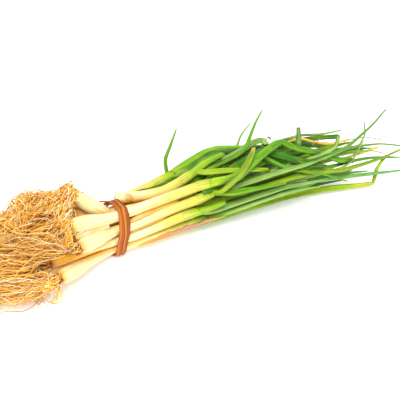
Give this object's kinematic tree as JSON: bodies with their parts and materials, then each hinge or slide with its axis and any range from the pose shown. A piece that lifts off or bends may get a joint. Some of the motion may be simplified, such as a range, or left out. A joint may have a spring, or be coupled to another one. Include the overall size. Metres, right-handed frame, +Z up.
{
  "type": "spring onion bunch",
  "caption": "Bunch of spring onions lying on its side: white shafts with beards of roots and long hollow green leaves, tied once round the shafts with a strip of dried leaf.",
  "frame": {"origin": "the middle of the bunch's underside, on the surface that it lies on", "axes": "+X runs along the bunch from the roots to the leaf tips, +Z is up, and -Y is the side that shows the most shafts"},
  "size_m": [0.5154, 0.1246, 0.0913],
  "materials": {
    "shaft": "moist and smooth, white to pale yellow",
    "leaves": "waxy green with fine ribs along the leaf",
    "roots": "dry fibrous roots, tan to brown",
    "tie": "dry fibrous strip, brown"
  },
  "bodies": {
    "root": {"shaft_01": "shaft", "leaves_01": "leaves", "roots_01": "roots", "shaft_02": "shaft", "leaves_02": "leaves", "roots_02": "roots", "shaft_03": "shaft", "leaves_03": "leaves", "roots_03": "roots", "shaft_04": "shaft", "leaves_04": "leaves", "roots_04": "roots", "shaft_05": "shaft", "leaves_05": "leaves", "roots_05": "roots", "shaft_06": "shaft", "leaves_06": "leaves", "roots_06": "roots", "shaft_07": "shaft", "leaves_07": "leaves", "roots_07": "roots", "shaft_08": "shaft", "leaves_08": "leaves", "roots_08": "roots", "shaft_09": "shaft", "leaves_09": "leaves", "roots_09": "roots", "shaft_10": "shaft", "leaves_10": "leaves", "roots_10": "roots", "shaft_11": "shaft", "leaves_11": "leaves", "roots_11": "roots", "shaft_12": "shaft", "leaves_12": "leaves", "roots_12": "roots", "shaft_13": "shaft", "leaves_13": "leaves", "roots_13": "roots", "shaft_14": "shaft", "leaves_14": "leaves", "roots_14": "roots", "shaft_15": "shaft", "leaves_15": "leaves", "roots_15": "roots", "shaft_16": "shaft", "leaves_16": "leaves", "tie": "tie"}
  },
  "joints": []
}
